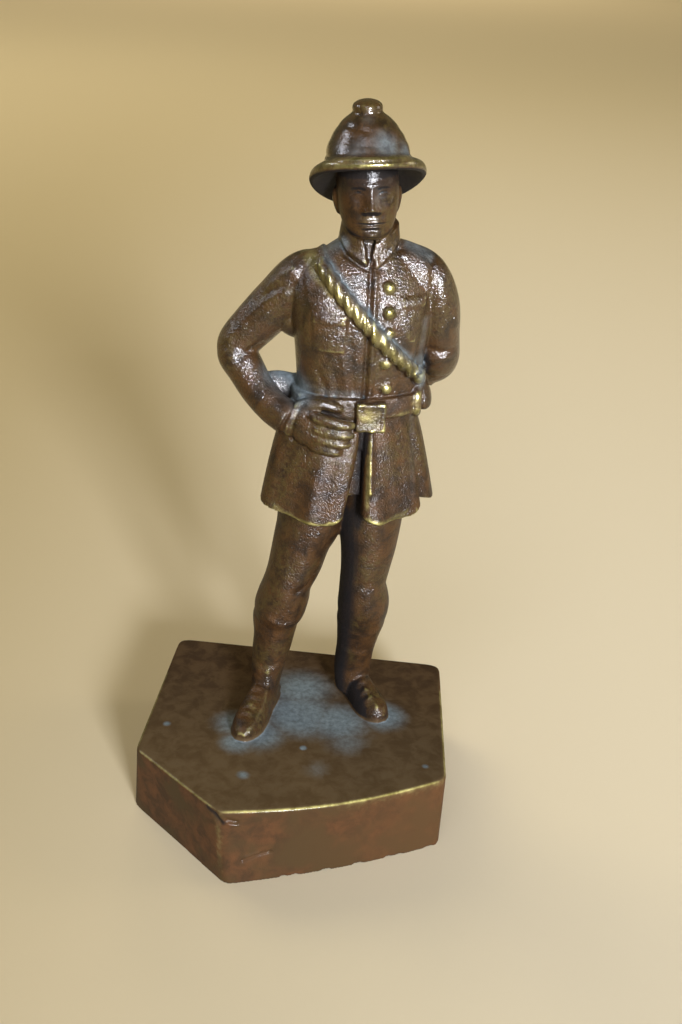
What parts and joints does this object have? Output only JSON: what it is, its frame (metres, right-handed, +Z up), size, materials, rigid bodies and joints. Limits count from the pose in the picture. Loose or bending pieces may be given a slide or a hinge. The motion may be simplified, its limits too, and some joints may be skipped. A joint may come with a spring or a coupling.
{
  "type": "bronze firefighter figurine",
  "caption": "Small cast bronze firefighter in a domed helmet, with a rope slung across a belted tunic and a hand on the hip, on a faceted plinth.",
  "frame": {"origin": "middle of the plinth's bounding box, on the surface that it stands on", "axes": "+Z up, the figure faces -Y, +X is to a viewer's right who looks at its front"},
  "size_m": [0.047, 0.0439, 0.1045],
  "materials": {
    "bronze": "red-brown patina worn to yellow metal on the high points, with blue-grey dust in the hollows"
  },
  "bodies": {
    "root": {"firefighter_figurine": "bronze"}
  },
  "joints": []
}
